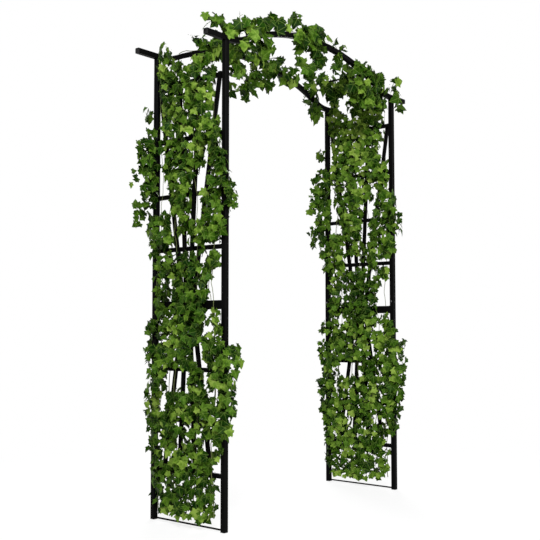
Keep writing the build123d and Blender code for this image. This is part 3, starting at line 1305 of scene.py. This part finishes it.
# The sheets near the trellis are painted darker as shade
SIDE_LAYERS = (
    LeafLayer(-1, 1.0, 1.0, 0.0),
    LeafLayer(1, 0.7, 1.0, 0.0),
    LeafLayer(-1, 0.45, 0.15, -0.5),
    LeafLayer(1, 0.30, 0.15, -0.5),
)


@dataclass
class IvySide:
    """The ivy on one trellis side: two quilted sheets of leaves, each with a sheet under it whose leaves
    are painted darker as shade.

    Attributes:
        kit: the shared leaves, tree and finish.
        side: which side it climbs.
        plane: distance of the side's middle from the arch's middle.
        bands: where leaves grow, as seen square on from the left.
        inset: how far leaf middles stay inside a band's spans.
        cell: size of the sheet's cells.
        near_stand: least distance of leaves from the trellis.
        quilt: how far the sheet swells between its edges.
        reach: greatest distance of a leaf's middle from the side's middle, front or rear.
        lean: how much further to the front a leaf lies for each part it stands out to the left.
        layers: the sheets of leaves.
        youth: how much lighter all its leaves are painted, so that both sides look evenly lit.
        crown: height from which the arch shades the side.
        crown_painted_light: how much lighter its leaves are painted from there up, against the arch's
            shade.
        edge: distance from the side's middle from which leaves stand past its posts.
        edge_darkening: how much lighter the leaves past the posts are painted, below 0 for darker ones.
        lump_scale: lumps of the sheet per metre.
        lump_shift: how far apart the two sides lie in the pattern of lumps.
        lump_depth: how far lumps change the swell, as a share of it.
        seed: seed of the leaves, to which the side's sign is added.
    """

    kit: IvyKit
    side: Side
    plane: float = 680 * MM
    bands: tuple[FoliageBand, ...] = SIDE_BANDS
    inset: float = 16 * MM
    cell: float = 18 * MM
    near_stand: float = 16 * MM
    quilt: float = 46 * MM
    reach: float = 272 * MM
    lean: float = 0.84
    layers: tuple[LeafLayer, ...] = SIDE_LAYERS
    youth: float = 0.0
    crown: float = 1900 * MM
    crown_painted_light: float = 0.0
    edge: float = 205 * MM
    edge_darkening: float = -0.15
    lump_scale: float = 9.0
    lump_shift: float = 3.7
    lump_depth: float = 0.8
    seed: int = 40

    def seat(self, across: float, height: float, swell: float, face: int) -> Vector:
        """Finds where a point of the sheet stands.

        Args:
            across: its place towards the front.
            height: its height.
            swell: 0 at the edge of a span and 1 in its middle.
            face: -1 for the left face of the side and 1 for the right one.

        Returns:
            The point.
        """
        shift = self.lump_shift * self.side.value + face
        lumps = noise.noise(Vector((across * self.lump_scale, height * self.lump_scale, shift)))
        stand = face * (self.near_stand + self.quilt * swell * (1.0 + self.lump_depth * lumps))
        front = across - self.lean * stand
        held = max(-self.reach, min(self.reach, front))
        stand += (front - held) / self.lean
        return Vector((self.side.value * self.plane + stand, -held, height))

    def strip(self, work: bmesh.types.BMesh, band: FoliageBand, span: Span, layer: LeafLayer) -> None:
        """Adds the sheet of one span of a band.

        Args:
            work: the mesh under way.
            band: the band.
            span: the span, in millimetres.
            layer: the layer that it belongs to.
        """
        start, end = span[0] * MM + self.inset, span[1] * MM - self.inset
        low, high = band.bottom * MM, band.top * MM
        columns = max(1, round((end - start) / self.cell))
        rows = max(1, round((high - low) / self.cell))
        leafiness = work.verts.layers.float[LEAFINESS]
        youth = work.verts.layers.float[PAINTED_SHADING]
        crown_lightening = self.crown_painted_light if low >= self.crown else 0.0
        grid = []
        for row in range(rows + 1):
            height = low + (high - low) * row / rows
            line = []
            for column in range(columns + 1):
                share = column / columns
                swell = layer.swell * math.sqrt(max(0.0, 1.0 - (2.0 * share - 1.0) ** 2))
                across = start + (end - start) * share
                point = work.verts.new(self.seat(across, height, swell, layer.face))
                point[leafiness] = band.thick * layer.thick
                # Painted light and shade: the layer's, band's and side's offsets, lighter leaves under the
                # arch's shade at the crown, and darker leaves past the posts
                darkening = self.edge_darkening if abs(across) > self.edge else 0.0
                point[youth] = layer.youth + band.youth + self.youth + crown_lightening + darkening
                line.append(point)
            grid.append(line)
        for lower, upper in zip(grid, grid[1:]):
            for column in range(columns):
                corners = (lower[column], lower[column + 1], upper[column + 1], upper[column])
                work.faces.new(corners if layer.face < 0 else corners[::-1])

    def build(self) -> None:
        """Grows the leaves of the side."""
        side = self.side.name.lower()
        work = bmesh.new()
        work.verts.layers.float.new(LEAFINESS)
        work.verts.layers.float.new(PAINTED_SHADING)
        for layer in self.layers:
            for band in self.bands:
                for span in band.spans:
                    self.strip(work, band, span, layer)
        mesh = finished_mesh(f"{side}_ivy_sheet", work)
        cover = LeafCover(seed=self.seed + self.side.value)
        piece = cover.grow(self.kit, link_object(mesh.name, mesh), f"{side}_ivy")
        seat_piece(piece, "leaf", f"{side}_ivy_leaves")


@dataclass(frozen=True)
class Clump:
    """A round clump of leaves, in millimetres.

    Attributes:
        middle: where its middle is.
        radii: how far it reaches along X, Y and Z.
    """

    middle: Axes
    radii: Axes


ARCH_CLUMPS = (
    # front rib, from left to right
    Clump((-795, -224, 2206), (28, 18, 20)),
    Clump((-740, -224, 2230), (28, 18, 24)),
    Clump((-680, -224, 2200), (28, 20, 22)),
    Clump((-630, -230, 2205), (26, 20, 24)),
    Clump((-565, -232, 2238), (54, 28, 26)),
    Clump((-545, -225, 2168), (46, 28, 26)),
    Clump((-465, -234, 2272), (48, 28, 20)),
    Clump((-430, -225, 2185), (55, 28, 46)),
    Clump((-350, -234, 2308), (52, 28, 20)),
    Clump((-245, -230, 2326), (24, 18, 12)),
    Clump((-180, -222, 2378), (26, 16, 22)),
    Clump((-150, -234, 2296), (56, 30, 40)),
    Clump((-40, -234, 2330), (56, 30, 40)),
    Clump((-60, -234, 2280), (50, 28, 40)),
    Clump((0, -226, 2235), (38, 28, 60)),
    Clump((-150, -226, 2245), (22, 18, 20)),
    Clump((-150, -220, 2140), (22, 18, 44)),
    Clump((-110, -220, 2085), (18, 14, 16)),
    Clump((-55, -220, 2145), (30, 20, 34)),
    Clump((105, -224, 2335), (18, 14, 14)),
    Clump((220, -224, 2325), (18, 14, 14)),
    Clump((165, -220, 2235), (28, 20, 46)),
    Clump((330, -228, 2235), (44, 28, 40)),
    Clump((420, -228, 2215), (56, 34, 42)),
    Clump((520, -228, 2200), (50, 30, 40)),
    Clump((545, -230, 2240), (40, 26, 32)),
    Clump((350, -214, 2140), (46, 34, 50)),
    Clump((450, -205, 2130), (66, 44, 60)),
    Clump((560, -205, 2120), (50, 40, 50)),
    Clump((690, -230, 2150), (28, 18, 24)),
    Clump((712, -228, 2226), (38, 12, 32)),
    Clump((730, -228, 2246), (24, 12, 24)),
    Clump((790, -222, 2120), (16, 10, 14)),
    # left rung, from rear to front
    Clump((-420, 60, 2235), (40, 70, 34)),
    Clump((-462, -80, 2192), (34, 52, 32)),
    # rear rib, from left to right
    Clump((-385, 215, 2302), (46, 24, 28)),
    Clump((-320, 215, 2280), (70, 28, 34)),
    Clump((-190, 215, 2290), (70, 28, 40)),
    Clump((-118, 215, 2305), (44, 28, 38)),
    Clump((-25, 202, 2312), (42, 22, 22)),
    Clump((88, 215, 2312), (48, 28, 42)),
    Clump((170, 215, 2285), (60, 28, 36)),
    Clump((225, 215, 2352), (26, 20, 22)),
    Clump((265, 215, 2285), (40, 26, 36)),
    Clump((325, 215, 2272), (34, 24, 28)),
    Clump((-112, 215, 2215), (54, 28, 40)),
    Clump((36, 215, 2222), (50, 28, 40)),
    Clump((-50, 210, 2130), (40, 26, 34)),
    Clump((108, 212, 2186), (42, 24, 26)),
    Clump((-170, 210, 2110), (18, 14, 18)),
    Clump((520, 215, 2205), (44, 26, 40)),
    Clump((560, 212, 2120), (40, 24, 40)),
    # right rung
    Clump((430, 60, 2250), (34, 60, 34)),
    Clump((430, 10, 2175), (36, 44, 44)),
    Clump((430, -90, 2210), (40, 60, 50)),
    Clump((600, -60, 2130), (50, 70, 40)),
)


ARCH_COVER = LeafCover(
    spacing=23 * MM, jitter=14 * MM, tumble=0.6, smallest=38 * MM, largest=62 * MM, seed=57
)


@dataclass
class IvyArch:
    """The ivy on the ribs and rungs: clumps of leaves that cling to them.

    Attributes:
        kit: the shared leaves, tree and finish.
        clumps: where leaves grow.
        shells: sizes of the nested forms that leaves cover in each clump, against the clump, with how much
            lighter their leaves are painted; the inner shell's leaves are painted darker as shade.
        divisions: how often the faces of a form are divided.
        cover: how leaves cover the forms.
    """

    kit: IvyKit
    clumps: tuple[Clump, ...] = ARCH_CLUMPS
    shells: tuple[Span, ...] = ((1.0, -0.12), (0.45, -0.45))
    divisions: int = 2
    cover: LeafCover = ARCH_COVER

    def build(self) -> None:
        """Grows the leaves of the arch."""
        work = bmesh.new()
        work.verts.layers.float.new(LEAFINESS)
        work.verts.layers.float.new(PAINTED_SHADING)
        leafiness = work.verts.layers.float[LEAFINESS]
        youth = work.verts.layers.float[PAINTED_SHADING]
        for clump in self.clumps:
            for share, shell_shading in self.shells:
                ball = bmesh.ops.create_icosphere(work, subdivisions=self.divisions, radius=share * MM)
                for vert in ball["verts"]:
                    vert.co = Vector(clump.middle) * MM + vert.co * Vector(clump.radii)
                    vert[leafiness] = 1.0
                    # Painted shade: the inner shell's leaves are painted darker
                    vert[youth] = shell_shading
        mesh = finished_mesh("arch_ivy_clumps", work)
        piece = self.cover.grow(self.kit, link_object(mesh.name, mesh), "arch_ivy")
        seat_piece(piece, "leaf", "arch_ivy_leaves")


@dataclass
class IvyStems:
    """The woody stems that climb both faces of the sides and run along the ribs.

    Attributes:
        effects: the shared shader groups.
        stem: radius of a stem at its foot.
        tip: radius of a stem at its top.
        sides: faces round a stem.
        step: distance between the points of a finished stem.
        wander: how far a stem winds to either side of its route, twice over.
        windings: windings of a stem per metre.
        outer_plane: distance of the outer stems from the arch's middle.
        inner_plane: distance of the inner stems from the arch's middle.
        foot: height where stems start.
        rise: height between two bends.
        bends: number of bends.
        outer_count: number of stems on the outer face of a side.
        inner_count: number of stems on the inner face of a side.
        outer_pitch: distance between outer stems.
        inner_pitch: distance between inner stems.
        outer_sway: how far outer stems sway.
        inner_sway: how far inner stems sway.
        bend_turn: turn of the sway from one bend to the next, in radians.
        stem_turn: turn of the sway from one stem to the next, in radians.
        rib_plane: distance of the ribs from the arch's middle, front and rear.
        rib_sway: how far the stems on the ribs sway.
        arc_radius: radius of the stems' arc over the ribs.
        arc_height: height of that arc's centre.
        arc_step: turn round that centre from one bend to the next, in degrees.
    """

    effects: Effects
    stem: float = 2.0 * MM
    tip: float = 0.8 * MM
    sides: int = 6
    step: float = 24 * MM
    wander: float = 44 * MM
    windings: float = 11.0
    outer_plane: float = 696.3 * MM
    inner_plane: float = 663.7 * MM
    foot: float = 60 * MM
    rise: float = 253.75 * MM
    bends: int = 8
    outer_count: int = 4
    inner_count: int = 3
    outer_pitch: float = 116 * MM
    inner_pitch: float = 130 * MM
    outer_sway: float = 18 * MM
    inner_sway: float = 24 * MM
    bend_turn: float = 1.9
    stem_turn: float = 2.1
    rib_plane: float = 220 * MM
    rib_sway: float = 5 * MM
    arc_radius: float = 1363.7 * MM
    arc_height: float = 960.1 * MM
    arc_step: float = 5.75

    def climbing(self, plane: float, pitch: float, sway: float, count: int) -> list[list[Vector]]:
        """Lays out the stems on one face of one side.

        Args:
            plane: their X.
            pitch: distance between them.
            sway: how far they sway.
            count: how many there are.

        Returns:
            The points of each stem.
        """
        routes = []
        for index in range(count):
            route = []
            for bend in range(self.bends + 1):
                turn = self.bend_turn * bend + self.stem_turn * index
                y = (index - (count - 1) / 2) * pitch + sway * math.sin(turn)
                route.append(Vector((plane, y, self.foot + self.rise * bend)))
            routes.append(route)
        return routes

    def along_rib(self, back: int) -> list[Vector]:
        """Lays out the stem on one rib.

        Args:
            back: -1 for the front rib and 1 for the rear one.

        Returns:
            The stem's points.
        """
        radius = self.arc_radius / math.cos(math.radians(self.arc_step / 2))
        route = []
        for bend in range(self.bends + 1):
            turn = math.radians(self.arc_step * (bend - self.bends / 2))
            y = back * (self.rib_plane + self.rib_sway * math.sin(self.bend_turn * bend))
            route.append(Vector((radius * math.sin(turn), y, self.arc_height + radius * math.cos(turn))))
        return route

    def tree(self) -> GeometryTree:
        """Builds the tree that thickens a route into a stem.

        Returns:
            The tree. Stems wind to either side of their routes and taper.
        """
        tree = GeometryTree("Tapered stem", {
            "Thickness": TreeSocket.FLOAT,
            "Step": TreeSocket.FLOAT,
            "Wander": TreeSocket.FLOAT,
            "Finish": TreeSocket.MATERIAL,
        })
        sizes = tree.entry.outputs
        finer = tree.add("GeometryNodeResampleCurve", mode="LENGTH")
        tree.link(sizes["Geometry"], finer.inputs["Curve"])
        tree.link(sizes["Step"], finer.inputs["Length"])
        drift = tree.add("ShaderNodeTexNoise", noise_dimensions="3D")
        drift.inputs["Scale"].default_value = self.windings
        middle = (NOISE_MIDDLE, NOISE_MIDDLE, NOISE_MIDDLE)
        offset = tree.vector_math("SUBTRACT", drift.outputs["Color"], middle)
        offset = tree.vector_math("MULTIPLY", offset, (0.0, 1.0, 1.0))
        wind = tree.add("GeometryNodeSetPosition")
        tree.link(finer.outputs["Curve"], wind.inputs["Geometry"])
        tree.link(tree.vector_math("SCALE", offset, sizes["Wander"]), wind.inputs["Offset"])
        ring = tree.add("GeometryNodeCurvePrimitiveCircle", mode="RADIUS")
        ring.inputs["Resolution"].default_value = self.sides
        tree.link(sizes["Thickness"], ring.inputs["Radius"])
        width = tree.add("GeometryNodeInputRadius")
        tube = tree.add("GeometryNodeCurveToMesh")
        tube.inputs["Fill Caps"].default_value = True
        tree.link(wind.outputs["Geometry"], tube.inputs["Curve"])
        tree.link(ring.outputs["Curve"], tube.inputs["Profile Curve"])
        tree.link(width.outputs["Radius"], tube.inputs["Scale"])
        tree.close(tube.outputs["Mesh"])
        return tree

    def build(self) -> None:
        """Makes all stems as one piece."""
        routes = [self.along_rib(-1), self.along_rib(1)]
        for side in Side:
            outer = side.value * self.outer_plane
            inner = side.value * self.inner_plane
            routes += self.climbing(outer, self.outer_pitch, self.outer_sway, self.outer_count)
            routes += self.climbing(inner, self.inner_pitch, self.inner_sway, self.inner_count)
        curve = bpy.data.curves.new("stem_routes", "CURVE")
        curve.dimensions = "3D"
        for route in routes:
            spline = curve.splines.new("POLY")
            spline.points.add(len(route) - 1)
            for index, (point, place) in enumerate(zip(spline.points, route)):
                share = index / (len(route) - 1)
                point.co = (*place, 1.0)
                point.radius = 1.0 + (self.tip / self.stem - 1.0) * share
        piece = self.tree().plain_mesh(
            link_object("stem_routes", curve),
            "climbing_stems",
            Thickness=self.stem,
            Step=self.step,
            Wander=self.wander,
            Finish=IVY_BARK.material(self.effects),
        )
        seat_piece(piece, "stem", "ivy_stems")


# Studio

def aim(item: bpy.types.Object, place: Axes, target: Axes) -> None:
    """Puts a lamp or a camera in its place.

    Args:
        item: the lamp or camera.
        place: where it hangs.
        target: what it points at.
    """
    item.location = place
    item.rotation_euler = (Vector(target) - Vector(place)).to_track_quat("-Z", "Y").to_euler()


@dataclass(frozen=True)
class SoftLamp:
    """A soft lamp with a square face.

    Attributes:
        name: the lamp's name.
        place: where it hangs.
        target: what it points at.
        size: side of its face.
        power: its power in watts.
    """

    name: str
    place: Axes
    target: Axes
    size: float
    power: float

    def hang(self) -> None:
        """Hangs the lamp in the scene."""
        light = bpy.data.lights.new(self.name, "AREA")
        light.size = self.size
        light.energy = self.power
        aim(link_object(self.name, light), self.place, self.target)


STUDIO_LAMPS = (
    SoftLamp("key_lamp", (-5.6, -4.3, 4.9), (0.0, 0.0, 1.1), 1.8, 640.0),
    SoftLamp("fill_lamp", (-1.2, -4.0, 2.0), (0.2, 0.0, 1.1), 2.5, 105.0),
    SoftLamp("back_lamp", (3.4, 3.0, 3.6), (0.0, 0.0, 1.4), 2.5, 280.0),
)


@dataclass
class Studio:
    """A pale floor, a white surround, soft lamps and the camera.

    Attributes:
        floor_size: side of the floor.
        floor_colour: the floor's linear colour.
        floor_glow: how much of the floor's white the camera sees without shade, near the arch.
        shadow_reach: distances between which the floor's shade fades out.
        surround: strength of the light from all round.
        lamps: the soft lamps.
        camera_place: where the camera stands.
        camera_target: what it points at.
        lens: its focal length in millimetres.
        sensor: width of its sensor in millimetres.
    """

    floor_size: float = 60.0
    floor_colour: Colour = (0.9, 0.9, 0.9)
    floor_glow: float = 0.80
    shadow_reach: Span = (0.9, 2.4)
    surround: float = 0.26
    lamps: tuple[SoftLamp, ...] = STUDIO_LAMPS
    camera_place: Axes = (-3.578, -2.903, 0.874)
    camera_target: Axes = (-0.111, 0.0, 1.166)
    lens: float = 60.29
    sensor: float = 36.0

    def seen_straight(self, tree: NodeTree) -> bpy.types.NodeSocket:
        """Tells the rays that should see plain white.

        Args:
            tree: the material's or the world's tree.

        Returns:
            1 for rays from the camera, and for mirrored or refracted ones.
        """
        path = tree.add("ShaderNodeLightPath")
        mirrored = tree.math("MAXIMUM", path.outputs["Is Camera Ray"], path.outputs["Is Glossy Ray"])
        return tree.math("MAXIMUM", mirrored, path.outputs["Is Transmission Ray"])

    def build_floor(self) -> None:
        """Lays the floor."""
        half = self.floor_size / 2
        mesh = bpy.data.meshes.new("studio_floor")
        corners = [(-half, -half, 0.0), (half, -half, 0.0), (half, half, 0.0), (-half, half, 0.0)]
        mesh.from_pydata(corners, [], [(0, 1, 2, 3)])
        paint = bpy.data.materials.new("Studio floor")
        paint.use_nodes = True
        tree = NodeTree(paint.node_tree)
        paint.node_tree.nodes.remove(paint.node_tree.nodes["Principled BSDF"])
        shade = tree.add("ShaderNodeBsdfDiffuse")
        shade.inputs["Color"].default_value = (*self.floor_colour, 1.0)
        glow = tree.add("ShaderNodeEmission")
        mix = tree.add("ShaderNodeMixShader")
        place = tree.add("ShaderNodeTexCoord")
        reach = tree.add("ShaderNodeVectorMath", operation="LENGTH")
        tree.link(place.outputs["Object"], reach.inputs[0])
        fade = tree.add("ShaderNodeMapRange", interpolation_type="SMOOTHSTEP")
        fade.inputs["From Min"].default_value = self.shadow_reach[0]
        fade.inputs["From Max"].default_value = self.shadow_reach[1]
        fade.inputs["To Min"].default_value = self.floor_glow
        tree.link(reach.outputs["Value"], fade.inputs["Value"])
        white = tree.math("MULTIPLY", self.seen_straight(tree), fade.outputs["Result"])
        tree.link(white, mix.inputs["Fac"])
        tree.link(shade.outputs["BSDF"], mix.inputs[1])
        tree.link(glow.outputs["Emission"], mix.inputs[2])
        tree.link(mix.outputs["Shader"], paint.node_tree.nodes["Material Output"].inputs["Surface"])
        mesh.materials.append(paint)
        link_object("studio_floor", mesh)

    def build_surround(self) -> None:
        """Sets the white surround."""
        world = bpy.data.worlds.new("Studio surround")
        bpy.context.scene.world = world
        world.use_nodes = True
        tree = NodeTree(world.node_tree)
        back = world.node_tree.nodes["Background"]
        back.inputs["Color"].default_value = (1.0, 1.0, 1.0, 1.0)
        seen = self.seen_straight(tree)
        strength = tree.math("MULTIPLY_ADD", seen, 1.0 - self.surround, self.surround)
        tree.link(strength, back.inputs["Strength"])

    def build_camera(self) -> None:
        """Sets the camera where the photograph was taken from."""
        data = bpy.data.cameras.new("Camera")
        data.lens = self.lens
        data.sensor_width = self.sensor
        camera = link_object("Camera", data)
        aim(camera, self.camera_place, self.camera_target)
        bpy.context.scene.camera = camera

    def build(self) -> None:
        """Sets up floor, surround, lamps and camera."""
        self.build_floor()
        self.build_surround()
        for lamp in self.lamps:
            lamp.hang()
        self.build_camera()
        bpy.context.scene.view_settings.view_transform = "Standard"


def main() -> None:
    """Dresses the frame, grows the ivy and sets up the studio."""
    logging.basicConfig(level=logging.INFO, format="%(name)s %(message)s")
    effects = Effects(surface_grain_group(), settled_dust_group())
    SteelFrame(effects).dress()
    WeldBeads(effects).build()
    IvyStems(effects).build()
    kit = IvyKit(effects)
    # Painted light: the right side is painted lighter than the left, and lighter still under the arch's
    # shade
    IvySide(kit, Side.LEFT, youth=-0.03).build()
    IvySide(kit, Side.RIGHT, inset=8 * MM, youth=0.03, crown_painted_light=0.22).build()
    IvyArch(kit).build()
    Studio().build()


if __name__ == "__main__":
    main()
